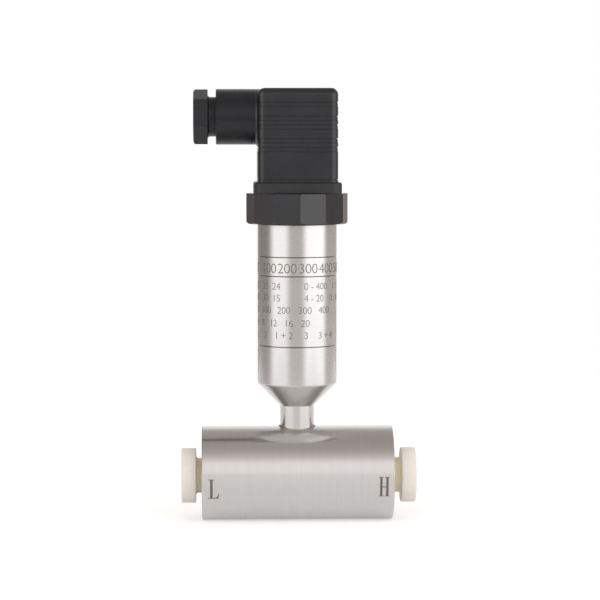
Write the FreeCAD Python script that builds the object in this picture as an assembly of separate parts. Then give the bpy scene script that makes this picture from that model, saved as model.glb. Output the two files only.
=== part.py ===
import FreeCAD, Part
import math
import os

Vec = FreeCAD.Vector

# Differential pressure transmitter, in millimetres.
# +Z runs up along the barrel, +X from the low side port to the high side port, and the front faces -Y.
# The origin is under the barrel's axis, on the lowest line of the round pressure body.

overshoot = 1.0                 # by which a cutting shape reaches past what it cuts
tolerance = 1e-3                # within which an edge counts as lying on a surface

# Pressure body: a turned bar with a port at each end
body_diameter = 32.0
body_length = 65.0
body_edge_chamfer = 0.3
port_drop = 0.95                # by which the ports' axis lies below the bar's
port_diameter = 12.3            # pitch diameter of a G 1/4 female thread
port_depth = 15.0
port_mouth_chamfer = 0.7
passage_diameter = 4.0
drill_point_slope = 0.5         # depth of the drill's point for each millimetre of radius
neck_socket_depth = 3.0
lead_hole_diameter = 6.4

# High side port: a separate turned insert, flush with the bar's end
insert_bar_wall = 4.0           # mean thickness of the bar's wall around the insert
insert_edge_chamfer = 0.25
weld_clearance = 0.03           # between turned pieces that are welded to one another

# Sensor cell between the two ports
insert_shoulder = 2.0           # step from the insert's bore in to the cell
cell_length = 14.0
cell_clearance = 0.15           # between the cell and its chamber, all round
cell_seal_section = 1.0
cell_face_land = 2.3            # flat left around each recess
cell_recess_depth = 0.6
diaphragm_thickness = 0.12
diaphragm_wave_height = 0.15
diaphragm_waves = 4
cavity_diameter = 8.0
cavity_length = 6.0
oil_channel_diameter = 1.2
chip_side = 3.0
chip_thickness = 1.4
header_diameter = 5.6
header_thickness = 3.0
header_sink = 0.75              # from the cell's outside down to the header
pin_count = 4
pin_pitch = 1.2
pin_diameter = 0.45
pin_length = 8.0
pin_stub = 1.5                  # below the header
lead_diameter = 0.8

# Barrel, cone and neck: one turned piece
barrel_diameter = 27.0
barrel_length = 54.35
barrel_bore_diameter = 23.0
barrel_edge_chamfer = 0.3
cone_angle = 45.0               # between the cone's side and the barrel's axis
cone_floor = 3.2                # metal left above the cone's foot, along the axis
neck_diameter = 11.7
neck_height = 7.2
neck_bore_diameter = 6.0
shoulder_edge_radius = 0.8
weld_bead_size = 0.5
ring_heights = (13.13, 36.91, 43.33)    # engraved rings, above the foot of the barrel
ring_width = 0.36
ring_depth = 0.16

# Port plugs of natural nylon
plug_head_diameter = 18.7
plug_head_thickness = 5.0
plug_edge_radius = 0.45
plug_lead_in = 0.6
plug_neck_diameter = 11.84
plug_gap = 2.0                  # from the bar's end to the low side plug's head
high_plug_stand_out = 0.95      # by which the high side plug is pushed in less far
plug_neck_fillet = 0.9
plug_shank_length = 7.0         # inside the port
plug_clearance = 0.06           # between the shank and the port, all round

# Circuit board inside the barrel
board_thickness = 1.6
board_top_gap = 2.0             # from the board's top to the base's spigot
guide_thickness = 3.0
guide_floor = 1.0               # under the board's foot
guide_step = 1.0                # width of the ledge that the guide rests on
guide_clearance = 0.1
board_slot_clearance = 0.1
lead_overlap = 3.0              # soldered length of the leads on the board
processor_size = (7.0, 7.0, 1.4)        # width, height and thickness of each component
driver_size = (5.0, 4.0, 1.6)
suppressor_size = (3.6, 4.4, 2.2)
capacitor_size = (2.0, 3.2, 1.6)
processor_level = 17.0          # middle of each component, above the board's foot
driver_level = 27.0
capacitor_level = 13.0
capacitor_pitch = 6.0
capacitor_rows = 3
driver_offset = 3.75            # middle of the driver and of the suppressor, from the board's middle
capacitor_offset = 4.5

# Connector base with its twelve-sided collar
collar_diameter = 34.5          # across the corners
collar_sides = 12
collar_turn = 2.0               # degrees by which one corner stands off the front
collar_height = 10.3
collar_corner_chamfer = 0.6
collar_top_chamfer = 0.2
spigot_length = 10.0
spigot_clearance = 0.05         # between the spigot and the barrel's bore, all round
spigot_wall = 1.6
spigot_chamfer = 0.4
base_floor = 7.0                # solid height above the spigot's hollow
seal_groove_width = 1.8
seal_section = 1.1
seat_side = 25.6
seat_height = 0.15
pad_side = 22.0
pad_height = 2.0
pad_corner_radius = 1.6

# Contact blades and the threaded insert, both moulded into the base
blade_radius = 9.0              # from the barrel's axis to each blade
blade_width = 6.3
blade_thickness = 0.8
blade_height = 11.0             # above the pad
blade_tail = 5.2                # below the spigot
earth_blade_extra = 1.0
blade_tip_chamfer = 0.6
blade_step = 1.2                # by which a blade's tail is narrower than its contact, on each side
insert_nut_diameter = 5.5
insert_nut_length = 8.0
insert_nut_groove = 0.4
insert_nut_groove_levels = (2.4, 5.2)
screw_diameter = 3.0
screw_clearance = 0.1           # in the threaded insert
screw_free_clearance = 0.2      # in the plastic parts and the gasket

# Profile gasket
gasket_side = 29.45
gasket_height = 3.65
gasket_corner_radius = 3.2
gasket_top_radius = 0.7
gasket_web = 1.5
gasket_clearance = 0.3          # around the base's pad and around the blades

# Connector housing with the gland's barrel
housing_side = 26.9
housing_height = 31.6
housing_wall = 1.8
housing_edge_radius = 2.4
roof_thickness = 2.0
rib_grooves = (5.46, 10.14, 13.0, 17.59, 20.55)     # middle of each groove, below the housing's top
rib_groove_width = 1.6
rib_groove_depth = 0.12
rib_line_width = 0.3            # sharp line along each groove's upper edge
rib_line_depth = 0.35
lip_height = 0.8                # below the fine line round the housing's foot
lip_line_width = 0.3
lip_line_depth = 0.3
gland_top_drop = 0.15           # from the housing's top down to the gland's barrel
gland_barrel_diameter = 18.8
gland_barrel_length = 14.05     # out from the housing's side
gland_barrel_chamfer = 0.3
gland_root_fillet = 0.9
gland_bore_diameter = 14.54     # pitch diameter of the gland's thread
gland_bore_floor = 0.9          # outside the housing's side
gland_mouth_chamfer = 0.6
cable_hole_diameter = 9.4
tube_wall = 1.4
cavity_corner_radius = 1.2
head_recess_diameter = 7.4
head_recess_depth = 3.5
recess_floor = 1.5

# Insert that holds the socket contacts
holder_clearance = 0.2
holder_height = 15.4
holder_corner_radius = 0.8
socket_width = 7.2
socket_depth = 2.6
socket_height = 11.0
socket_sink = 1.0               # from the holder's foot up to the contacts
socket_wall = 0.5
pocket_clearance = 0.05
socket_clearance = 0.2
clamp_depth = 4.5
clamp_height = 4.0
terminal_screw_diameter = 2.5
terminal_head_diameter = 4.2
terminal_head_height = 1.6
terminal_head_chamfer = 0.3
terminal_tip_gap = 0.8          # from the clamp's foot up to the screw's tip
slot_width = 0.7
slot_depth = 0.8

# Centre screw and its seal
centre_head_diameter = 5.8
centre_head_height = 2.2
centre_slot_width = 0.9
centre_slot_depth = 1.1
centre_seal_thickness = 1.0
centre_seal_diameter = 6.6
centre_screw_reach = 6.0        # below the top of the threaded insert
centre_screw_chamfer = 0.4

# Gland screw, washer and grommet
hex_corner_diameter = 18.75
hex_turn = -8.4                 # degrees by which one corner leans back from straight up
hex_thickness = 4.85
hex_chamfer = 1.0
gland_gap = 2.75                # between the hexagon and the housing's gland barrel
gland_neck_diameter = 13.4
gland_neck_fillet = 0.8
gland_neck_sink = 0.4           # by which the undercut starts inside the gland's barrel
gland_thread_length = 3.9
gland_thread_clearance = 0.07
gland_thread_chamfer = 0.4
gland_hole_diameter = 9.0
gland_hole_chamfer = 0.8
washer_thickness = 0.8
grommet_length = 5.3
grommet_hole_diameter = 6.5
grommet_clearance = 0.15
grommet_chamfer = 0.5

# Heights of the main levels
body_radius = body_diameter / 2
bar_axis_z = body_radius
port_z = bar_axis_z - port_drop
body_top_z = body_diameter
neck_foot_z = body_top_z - neck_socket_depth
neck_top_z = body_top_z + neck_height
cone_height = (barrel_diameter - neck_diameter) / 2 / math.tan(math.radians(cone_angle))
cone_top_z = neck_top_z + cone_height
barrel_top_z = cone_top_z + barrel_length
spigot_foot_z = barrel_top_z - spigot_length
collar_top_z = barrel_top_z + collar_height
seat_z = collar_top_z + seat_height
pad_z = seat_z + pad_height
gasket_top_z = seat_z + gasket_height
housing_top_z = gasket_top_z + housing_height
gland_z = housing_top_z - gland_top_drop - gland_barrel_diameter / 2
recess_floor_z = housing_top_z - head_recess_depth
roof_z = housing_top_z - roof_thickness
holder_top_z = gasket_top_z + holder_height

# Diameters around the ports' axis, from the bar inwards
insert_diameter = body_diameter - 2 * insert_bar_wall
cell_diameter = insert_diameter - 2 * insert_shoulder
cell_recess_diameter = cell_diameter - 2 * cell_face_land
cell_seal_diameter = cell_recess_diameter + cell_face_land      # middle line of the two face seals

# Places along the ports' axis
chamber_half = cell_length / 2 + cell_seal_section
body_half = body_length / 2

# Places along the gland's axis, counted out from the barrel's axis
housing_half = housing_side / 2
gland_mouth_x = housing_half + gland_barrel_length
gland_floor_x = housing_half + gland_bore_floor
hex_inner_x = gland_mouth_x + gland_gap
hex_outer_x = hex_inner_x + hex_thickness
neck_end_x = gland_mouth_x - gland_neck_sink
screw_end_x = gland_mouth_x - gland_thread_length
washer_end_x = screw_end_x - washer_thickness

holder_side = housing_side - 2 * housing_wall - 2 * holder_clearance
free_hole_diameter = screw_diameter + 2 * screw_free_clearance


def turned_face(face, origin=Vec(0, 0, 0), direction=Vec(0, 0, 1)):
    """Solid of revolution from a face in the XZ plane, turned about Z and then set on its own axis."""
    solid = face.revolve(Vec(0, 0, 0), Vec(0, 0, 1), 360)
    solid.Placement = FreeCAD.Placement(origin, FreeCAD.Rotation(Vec(0, 0, 1), direction))
    return solid


def turned(corners, origin=Vec(0, 0, 0), direction=Vec(0, 0, 1)):
    """Solid of revolution from (radius, distance along the axis) corners."""
    points = [Vec(r, 0, h) for r, h in corners]
    return turned_face(Part.Face(Part.makePolygon(points + [points[0]])), origin, direction)


def rod(diameter, start, end):
    """Round bar between two points."""
    return Part.makeCylinder(diameter / 2, (end - start).Length, start, end - start)


def ring(outer_diameter, inner_diameter, start, end):
    """Tube between two points."""
    return rod(outer_diameter, start, end).cut(rod(inner_diameter, start, end))


def torus(middle_diameter, section, centre, direction):
    """Ring of round section."""
    return Part.makeTorus(middle_diameter / 2, section / 2, centre, direction)


def block(size_x, size_y, low_z, high_z, x=0.0, y=0.0):
    """Upright rectangular block, centred on x and y."""
    corner = Vec(x - size_x / 2, y - size_y / 2, low_z)
    return Part.makeBox(size_x, size_y, high_z - low_z, corner)


def edges_between(shape, accept):
    """Edges of a shape whose middle point is accepted."""
    chosen = []
    for edge in shape.Edges:
        middle = edge.valueAt((edge.FirstParameter + edge.LastParameter) / 2)
        if accept(edge, middle):
            chosen.append(edge)
    return chosen


def is_upright(edge):
    """True for a straight edge along Z."""
    if len(edge.Vertexes) != 2:
        return False
    run = edge.Vertexes[1].Point - edge.Vertexes[0].Point
    return math.hypot(run.x, run.y) < tolerance and abs(run.z) > tolerance


def rounded_block(side, low_z, high_z, corner_radius, top_radius=0.0):
    """Square upright block with rounded corners, and a rounded top edge if one is given."""
    solid = block(side, side, low_z, high_z)
    upright = edges_between(solid, lambda edge, middle: is_upright(edge))
    solid = solid.makeFillet(corner_radius, upright)
    if top_radius > 0:
        top = edges_between(solid, lambda edge, middle: abs(middle.z - high_z) < tolerance)
        solid = solid.makeFillet(top_radius, top)
    return solid


def prism(corner_points, along):
    """Prism from a closed outline."""
    wire = Part.makePolygon(corner_points + [corner_points[0]])
    return Part.Face(wire).extrude(along)


def around_axis(shape, count, first=0.0):
    """Copies of a shape turned about Z in equal steps."""
    copies = []
    for i in range(count):
        copy = shape.copy()
        copy.rotate(Vec(0, 0, 0), Vec(0, 0, 1), first + i * 360.0 / count)
        copies.append(copy)
    return copies


def along_x(distance, height=port_z):
    """Point on the ports' axis, or on a line parallel to it at another height."""
    return Vec(distance, 0, height)


def port_cut(face_x, inward):
    """Port bored inwards from an end face, with its mouth chamfer and the passage beyond it.

    inward is +1 where the port runs towards +X and -1 where it runs towards -X."""
    radius = port_diameter / 2
    corners = [
        (0, 0),
        (radius + port_mouth_chamfer, 0),
        (radius, port_mouth_chamfer),
        (radius, port_depth),
        (passage_diameter / 2, port_depth + (radius - passage_diameter / 2) * drill_point_slope),
        (passage_diameter / 2, body_half - chamber_half + overshoot),
        (0, body_half - chamber_half + overshoot),
    ]
    return turned(corners, along_x(face_x), Vec(inward, 0, 0))


def make_pressure_body():
    """Bar with the low side port on the left, the cell's chamber and the insert's bore from the right."""
    chamfer = body_edge_chamfer
    bar = turned([
        (0, 0),
        (body_radius - chamfer, 0),
        (body_radius, chamfer),
        (body_radius, body_length - chamfer),
        (body_radius - chamfer, body_length),
        (0, body_length),
    ], along_x(-body_half, bar_axis_z), Vec(1, 0, 0))
    chamber_diameter = cell_diameter + 2 * cell_clearance
    chamber = rod(chamber_diameter, along_x(-chamber_half), along_x(chamber_half))
    seat_radius = insert_diameter / 2 + weld_clearance
    insert_bore = turned([
        (0, 0),
        (seat_radius, 0),
        (seat_radius, body_half - chamber_half - insert_edge_chamfer),
        (seat_radius + insert_edge_chamfer, body_half - chamber_half),
        (0, body_half - chamber_half),
    ], along_x(chamber_half), Vec(1, 0, 0))
    socket = rod(neck_diameter + 2 * weld_clearance, Vec(0, 0, neck_foot_z), Vec(0, 0, body_top_z + overshoot))
    lead_hole = rod(lead_hole_diameter, Vec(0, 0, port_z), Vec(0, 0, body_top_z))
    return bar.cut([port_cut(-body_half, 1), chamber, insert_bore, socket, lead_hole])


def make_high_port_insert():
    """Turned insert with the high side port, flush with the bar's right end."""
    length = body_half - chamber_half
    chamfer = insert_edge_chamfer
    radius = insert_diameter / 2
    blank = turned([
        (0, 0),
        (radius - chamfer, 0),
        (radius, chamfer),
        (radius, length - chamfer),
        (radius - chamfer, length),
        (0, length),
    ], along_x(chamber_half), Vec(1, 0, 0))
    return blank.cut(port_cut(body_half, -1))


def make_neck_weld():
    """Flat-faced bead along the line where the round neck meets the round bar."""
    bar = rod(body_diameter, along_x(-neck_diameter, bar_axis_z), along_x(neck_diameter, bar_axis_z))
    neck = rod(neck_diameter, Vec(0, 0, port_z), Vec(0, 0, neck_top_z))
    joined = bar.fuse(neck).removeSplitter()

    def on_the_joint(edge, middle):
        on_neck = abs(math.hypot(middle.x, middle.y) - neck_diameter / 2) < tolerance
        on_bar = abs(math.hypot(middle.y, middle.z - bar_axis_z) - body_radius) < tolerance
        return on_neck and on_bar

    beaded = joined.makeChamfer(weld_bead_size, edges_between(joined, on_the_joint))
    return beaded.cut([bar, neck])


def make_barrel_housing():
    """Barrel, cone and neck turned from one bar, with three engraved rings."""
    outer = barrel_diameter / 2
    neck = neck_diameter / 2
    bore = barrel_bore_diameter / 2
    neck_bore = neck_bore_diameter / 2
    ledge = bore - guide_step
    ledge_z = cone_top_z + guide_step
    corners = [
        (neck_bore, neck_foot_z),
        (neck, neck_foot_z),
        (neck, neck_top_z),
        (outer, cone_top_z),
    ]
    for height in ring_heights:
        middle_z = cone_top_z + height
        corners.append((outer, middle_z - ring_width / 2))
        corners.append((outer - ring_depth, middle_z - ring_width / 4))
        corners.append((outer - ring_depth, middle_z + ring_width / 4))
        corners.append((outer, middle_z + ring_width / 2))
    corners += [
        (outer, barrel_top_z - barrel_edge_chamfer),
        (outer - barrel_edge_chamfer, barrel_top_z),
        (bore, barrel_top_z),
        (bore, ledge_z),
        (ledge, ledge_z),
        (neck_bore, neck_top_z + cone_floor),
    ]
    blank = turned(corners)

    def at_shoulder(edge, middle):
        on_rim = abs(math.hypot(middle.x, middle.y) - outer) < tolerance
        return on_rim and abs(middle.z - cone_top_z) < tolerance

    return blank.makeFillet(shoulder_edge_radius, edges_between(blank, at_shoulder))


def make_port_plug(side):
    """Plug with a flanged head and a plain shank; side is -1 for the low side and +1 for the high side."""
    head = plug_head_diameter / 2
    neck = plug_neck_diameter / 2
    shank = port_diameter / 2 - plug_clearance
    inner_x = body_half - plug_shank_length
    if side > 0:
        inner_x += high_plug_stand_out
    under_head = plug_shank_length + plug_gap
    end = under_head + plug_head_thickness
    blank = turned([
        (0, 0),
        (shank - plug_lead_in, 0),
        (shank, plug_lead_in),
        (shank, plug_shank_length - port_mouth_chamfer),
        (neck, plug_shank_length - port_mouth_chamfer / 2),
        (neck, under_head),
        (head, under_head),
        (head, end),
        (0, end),
    ], along_x(side * inner_x), Vec(side, 0, 0))

    def at_radius(radius, distance):
        x = side * (inner_x + distance)

        def accept(edge, middle):
            from_axis = math.hypot(middle.y, middle.z - port_z)
            return abs(from_axis - radius) < tolerance and abs(middle.x - x) < tolerance
        return edges_between(blank, accept)

    rims = at_radius(head, under_head) + at_radius(head, end)
    root = at_radius(neck, under_head)
    rounded = blank.makeFillet(plug_edge_radius, rims)
    root = edges_between(rounded, lambda edge, middle: any(
        (middle - corner.valueAt((corner.FirstParameter + corner.LastParameter) / 2)).Length < tolerance
        for corner in root))
    return rounded.makeFillet(plug_neck_fillet, root)


def make_sensor_cell():
    """Round cell with a recess for a diaphragm in each face, an inner cavity and a header hole at the top."""
    body = rod(cell_diameter, along_x(-cell_length / 2), along_x(cell_length / 2))
    cuts = []
    for side in (-1, 1):
        face = along_x(side * cell_length / 2)
        floor = along_x(side * (cell_length / 2 - cell_recess_depth))
        cuts.append(rod(cell_recess_diameter, floor, face))
    cuts.append(rod(cavity_diameter, along_x(-cavity_length / 2), along_x(cavity_length / 2)))
    cuts.append(rod(oil_channel_diameter, along_x(-cell_length / 2), along_x(cell_length / 2)))
    cuts.append(rod(header_diameter, Vec(0, 0, port_z), Vec(0, 0, port_z + cell_diameter)))
    return body.cut(cuts)


def make_isolating_diaphragms():
    """Thin corrugated discs, one in each recess."""
    discs = []
    half = diaphragm_thickness / 2
    wave_pitch = cell_recess_diameter / 2 / (diaphragm_waves + 1)
    middle_line = [(0.0, 0.0)]
    for i in range(diaphragm_waves):
        middle_line.append(((i + 0.75) * wave_pitch, 0.0))
        middle_line.append(((i + 1.0) * wave_pitch, diaphragm_wave_height))
        middle_line.append(((i + 1.25) * wave_pitch, 0.0))
    middle_line.append((cell_recess_diameter / 2, 0.0))
    upper = [(r, h + half) for r, h in middle_line]
    lower = [(r, h - half) for r, h in reversed(middle_line)]
    for side in (-1, 1):
        base = cell_length / 2 - cell_recess_depth + half
        discs.append(turned(lower + upper, along_x(side * base), Vec(side, 0, 0)))
    return Part.makeCompound(discs)


def make_sensor_seals():
    """Two O-rings that seal the cell's faces."""
    seals = []
    for side in (-1, 1):
        centre = along_x(side * (cell_length + cell_seal_section) / 2)
        seals.append(torus(cell_seal_diameter, cell_seal_section, centre, Vec(1, 0, 0)))
    return Part.makeCompound(seals)


def make_sensing_chip():
    """Silicon element on the wall of the cell's cavity, over the oil channel."""
    corner = Vec(-cavity_length / 2, -chip_side / 2, port_z - chip_side / 2)
    return Part.makeBox(chip_thickness, chip_side, chip_side, corner)


header_foot_z = port_z + cell_diameter / 2 - header_sink - header_thickness
pin_foot_z = header_foot_z - pin_stub
pin_top_z = pin_foot_z + pin_length
pin_places = [(i - (pin_count - 1) / 2) * pin_pitch for i in range(pin_count)]


def make_header_pins():
    """Row of pins through the header."""
    pins = [rod(pin_diameter, Vec(x, 0, pin_foot_z), Vec(x, 0, pin_top_z)) for x in pin_places]
    return Part.makeCompound(pins)


def make_sensor_header():
    """Glass plug that seals the cell around its pins."""
    plug = rod(header_diameter, Vec(0, 0, header_foot_z), Vec(0, 0, header_foot_z + header_thickness))
    return plug.cut(make_header_pins())


guide_foot_z = cone_top_z + guide_step
board_foot_z = guide_foot_z + guide_floor
board_top_z = spigot_foot_z - board_top_gap
board_width = 2 * blade_radius - blade_thickness
board_y = -(lead_diameter + board_thickness) / 2


def make_sensor_leads():
    """Insulated wires from the header's pins to the board's face."""
    top_z = guide_foot_z + guide_thickness + lead_overlap
    wires = [rod(lead_diameter, Vec(x, 0, pin_top_z), Vec(x, 0, top_z)) for x in pin_places]
    return Part.makeCompound(wires)


def make_board_guide():
    """Plastic disc that centres the board's lower end and lets the leads through."""
    diameter = barrel_bore_diameter - 2 * guide_clearance
    disc = rod(diameter, Vec(0, 0, guide_foot_z), Vec(0, 0, guide_foot_z + guide_thickness))
    slot = block(board_width + 2 * board_slot_clearance, board_thickness + 2 * board_slot_clearance,
                 board_foot_z, guide_foot_z + guide_thickness + overshoot, y=board_y)
    lead_room = block(pin_count * pin_pitch + lead_diameter, 3 * lead_diameter,
                      guide_foot_z - overshoot, guide_foot_z + guide_thickness + overshoot, y=lead_diameter)
    return disc.cut([slot, lead_room])


def make_circuit_board():
    """Upright board on the guide, soldered between the tails of two blades."""
    return block(board_width, board_thickness, board_foot_z, board_top_z, y=board_y)


board_front_y = board_y - board_thickness / 2
board_back_y = board_y + board_thickness / 2


def component(size, x, level, front=True):
    """Box-shaped component seated on one face of the board."""
    width, height, thickness = size
    low_z = board_foot_z + level - height / 2
    y = board_front_y - thickness if front else board_back_y
    return Part.makeBox(width, thickness, height, Vec(x - width / 2, y, low_z))


def make_processor_chip():
    """Signal processor on the board's front."""
    return component(processor_size, 0, processor_level)


def make_driver_chip():
    """Output driver above the processor."""
    return component(driver_size, -driver_offset, driver_level)


def make_surge_suppressor():
    """Surge suppressor beside the driver."""
    return component(suppressor_size, driver_offset, driver_level)


def make_board_capacitors():
    """Two columns of ceramic capacitors on the board's back."""
    capacitors = []
    for row in range(capacitor_rows):
        level = capacitor_level + row * capacitor_pitch
        for x in (-capacitor_offset, capacitor_offset):
            capacitors.append(component(capacitor_size, x, level, front=False))
    return Part.makeCompound(capacitors)


def blade(extra_height, extra_angle=0.0):
    """Flat blade on the +X side, with a narrower tail below the base's floor and a chamfered tip."""
    top_z = pad_z + blade_height + extra_height
    step_z = collar_top_z - base_floor
    tail_z = spigot_foot_z - blade_tail
    half = blade_width / 2
    tail_half = half - blade_step
    x = blade_radius - blade_thickness / 2
    outline = [
        Vec(x, -tail_half, tail_z),
        Vec(x, tail_half, tail_z),
        Vec(x, tail_half, step_z),
        Vec(x, half, step_z),
        Vec(x, half, top_z - blade_tip_chamfer),
        Vec(x, half - blade_tip_chamfer, top_z),
        Vec(x, blade_tip_chamfer - half, top_z),
        Vec(x, -half, top_z - blade_tip_chamfer),
        Vec(x, -half, step_z),
        Vec(x, -tail_half, step_z),
    ]
    solid = prism(outline, Vec(blade_thickness, 0, 0))
    solid.rotate(Vec(0, 0, 0), Vec(0, 0, 1), extra_angle)
    return solid


def make_contact_blades():
    """Three blades: low and high side, and front."""
    return Part.makeCompound([blade(0.0, angle) for angle in (0, 180, -90)])


def make_earth_blade():
    """Longer blade at the back."""
    return blade(earth_blade_extra, 90)


def insert_nut_blank():
    """Outside of the threaded insert, with its two anchoring grooves."""
    radius = insert_nut_diameter / 2
    groove = insert_nut_groove
    corners = [(0, 0), (radius, 0)]
    for low in insert_nut_groove_levels:
        corners += [(radius, low), (radius - groove, low), (radius - groove, low + groove), (radius, low + groove)]
    corners += [(radius, insert_nut_length), (0, insert_nut_length)]
    return turned(corners, Vec(0, 0, pad_z - insert_nut_length))


def make_threaded_insert():
    """Brass insert for the centre screw, open at both ends."""
    bore = rod(screw_diameter + 2 * screw_clearance,
               Vec(0, 0, pad_z - insert_nut_length), Vec(0, 0, pad_z))
    return insert_nut_blank().cut(bore)


def make_connector_base():
    """Moulded base: hollow spigot, twelve-sided collar, gasket seat and pad, around the metal inserts."""
    spigot_radius = barrel_bore_diameter / 2 - spigot_clearance
    groove_radius = barrel_bore_diameter / 2 - seal_section
    spigot = turned([
        (0, spigot_foot_z),
        (spigot_radius - spigot_chamfer, spigot_foot_z),
        (spigot_radius, spigot_foot_z + spigot_chamfer),
        (spigot_radius, barrel_top_z - seal_groove_width),
        (groove_radius, barrel_top_z - seal_groove_width),
        (groove_radius, barrel_top_z),
        (0, barrel_top_z),
    ])
    corner = collar_diameter / 2
    outline = []
    for i in range(collar_sides):
        angle = math.radians(collar_turn - 90 + i * 360.0 / collar_sides)
        outline.append(Vec(corner * math.cos(angle), corner * math.sin(angle), barrel_top_z))
    collar = prism(outline, Vec(0, 0, collar_height))
    chamfer = collar_corner_chamfer
    envelope = turned([
        (0, barrel_top_z),
        (corner - chamfer, barrel_top_z),
        (corner, barrel_top_z + chamfer),
        (corner, collar_top_z - collar_top_chamfer),
        (corner - collar_top_chamfer, collar_top_z),
        (0, collar_top_z),
    ])
    collar = collar.common(envelope)
    seat = rounded_block(seat_side, collar_top_z, seat_z, gasket_corner_radius)
    pad = rounded_block(pad_side, seat_z, pad_z, pad_corner_radius)
    hollow = rod(barrel_bore_diameter - 2 * spigot_clearance - 2 * spigot_wall,
                 Vec(0, 0, spigot_foot_z), Vec(0, 0, collar_top_z - base_floor))
    solid = spigot.fuse([collar, seat, pad]).removeSplitter()
    return solid.cut([hollow, insert_nut_blank(), make_contact_blades(), make_earth_blade()])


def make_base_seal():
    """O-ring in the groove under the collar."""
    middle = barrel_bore_diameter - seal_section
    section = seal_section - 2 * spigot_clearance
    return torus(middle, section, Vec(0, 0, barrel_top_z - seal_groove_width / 2), Vec(0, 0, 1))


def blade_slot(low_z, high_z, clearance):
    """Slot on the +X side through which one blade passes."""
    width = blade_width + 2 * clearance
    thickness = blade_thickness + 2 * clearance
    return block(thickness, width, low_z, high_z, x=blade_radius)


def make_profile_gasket():
    """Square gasket: a rim round the base's pad, and a web over it with openings for blades and screw."""
    blank = rounded_block(gasket_side, seat_z, gasket_top_z, gasket_corner_radius, gasket_top_radius)
    under = rounded_block(pad_side + 2 * gasket_clearance, seat_z, gasket_top_z - gasket_web,
                          pad_corner_radius)
    slots = around_axis(blade_slot(seat_z, gasket_top_z, gasket_clearance), 4)
    screw_hole = rod(free_hole_diameter, Vec(0, 0, seat_z), Vec(0, 0, gasket_top_z))
    return blank.cut([under, screw_hole] + slots)


def gland_point(distance):
    """Point on the gland's axis, at a distance out from the barrel's axis towards -X."""
    return Vec(-distance, 0, gland_z)


def groove_frame(low_z, high_z, depth):
    """Square frame that cuts a groove of the given depth all round the housing."""
    outside = block(housing_side + 2 * overshoot, housing_side + 2 * overshoot, low_z, high_z)
    inside = rounded_block(housing_side - 2 * depth, low_z, high_z, housing_edge_radius - depth)
    return outside.cut(inside)


def gland_barrel_blank():
    """Outside of the gland's barrel, with a flared root below its top line."""
    radius = gland_barrel_diameter / 2
    tube = turned([
        (0, 0),
        (radius, 0),
        (radius, gland_mouth_x - gland_barrel_chamfer),
        (radius - gland_barrel_chamfer, gland_mouth_x),
        (0, gland_mouth_x),
    ], gland_point(0), Vec(-1, 0, 0))
    foot = Vec(radius, 0, housing_half + gland_root_fillet)
    rim = Vec(radius + gland_root_fillet, 0, housing_half)
    share = gland_root_fillet * (1 - math.sqrt(0.5))
    belly = Vec(radius + share, 0, housing_half + share)
    start = Vec(0, 0, housing_half)
    top = Vec(0, 0, housing_half + gland_root_fillet)
    wire = Part.Wire([
        Part.makeLine(start, rim),
        Part.Arc(rim, belly, foot).toShape(),
        Part.makeLine(foot, top),
        Part.makeLine(top, start),
    ])
    flare = turned_face(Part.Face(wire), gland_point(0), Vec(-1, 0, 0))
    below_top = block(4 * gland_mouth_x, 2 * housing_side, gland_z - 2 * radius, gland_z + radius / 2)
    return tube.fuse(flare.common(below_top))


def make_connector_housing():
    """Ribbed square hood, open below, with the gland's barrel, a centre tube and a recess for the screw."""
    shell = rounded_block(housing_side, gasket_top_z, housing_top_z, housing_edge_radius, housing_edge_radius)
    grooves = []
    for below_top in rib_grooves:
        middle_z = housing_top_z - below_top
        upper_z = middle_z + rib_groove_width / 2
        grooves.append(groove_frame(middle_z - rib_groove_width / 2, upper_z, rib_groove_depth))
        grooves.append(groove_frame(upper_z - rib_line_width, upper_z, rib_line_depth))
    grooves.append(groove_frame(gasket_top_z + lip_height, gasket_top_z + lip_height + lip_line_width,
                                lip_line_depth))
    shell = shell.cut(grooves)
    shell = shell.fuse(gland_barrel_blank())
    tube_diameter = free_hole_diameter + 2 * tube_wall
    recess_block = rod(head_recess_diameter + 2 * tube_wall,
                       Vec(0, 0, recess_floor_z - recess_floor), Vec(0, 0, housing_top_z))
    tube = rod(tube_diameter, Vec(0, 0, holder_top_z), Vec(0, 0, housing_top_z))
    cavity = rounded_block(housing_side - 2 * housing_wall, gasket_top_z - overshoot, roof_z,
                           cavity_corner_radius)
    cavity = cavity.cut([recess_block, tube])
    recess = rod(head_recess_diameter, Vec(0, 0, recess_floor_z), Vec(0, 0, housing_top_z + overshoot))
    screw_hole = rod(free_hole_diameter, Vec(0, 0, holder_top_z - overshoot), Vec(0, 0, housing_top_z))
    bore_radius = gland_bore_diameter / 2
    gland_bore = turned([
        (0, gland_floor_x),
        (bore_radius, gland_floor_x),
        (bore_radius, gland_mouth_x - gland_mouth_chamfer),
        (bore_radius + gland_mouth_chamfer, gland_mouth_x),
        (0, gland_mouth_x),
    ], gland_point(0), Vec(-1, 0, 0))
    cable_hole = rod(cable_hole_diameter, gland_point(housing_half - housing_wall - overshoot),
                     gland_point(gland_floor_x + overshoot))
    return shell.cut([cavity, recess, screw_hole, gland_bore, cable_hole])


socket_foot_z = gasket_top_z + socket_sink
socket_top_z = socket_foot_z + socket_height
clamp_top_z = socket_top_z + clamp_height
terminal_tip_z = socket_top_z + terminal_tip_gap
clamp_x = blade_radius + socket_depth / 2 - clamp_depth / 2


def socket_outline(clearance, top_z):
    """Outside of one socket contact and its clamp on the +X side, larger by a clearance on every side."""
    clip = block(socket_depth + 2 * clearance, socket_width + 2 * clearance,
                 socket_foot_z, socket_top_z, x=blade_radius)
    clamp = block(clamp_depth + 2 * clearance, socket_width + 2 * clearance,
                  socket_top_z - clearance, top_z, x=clamp_x)
    return clip.fuse(clamp)


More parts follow.
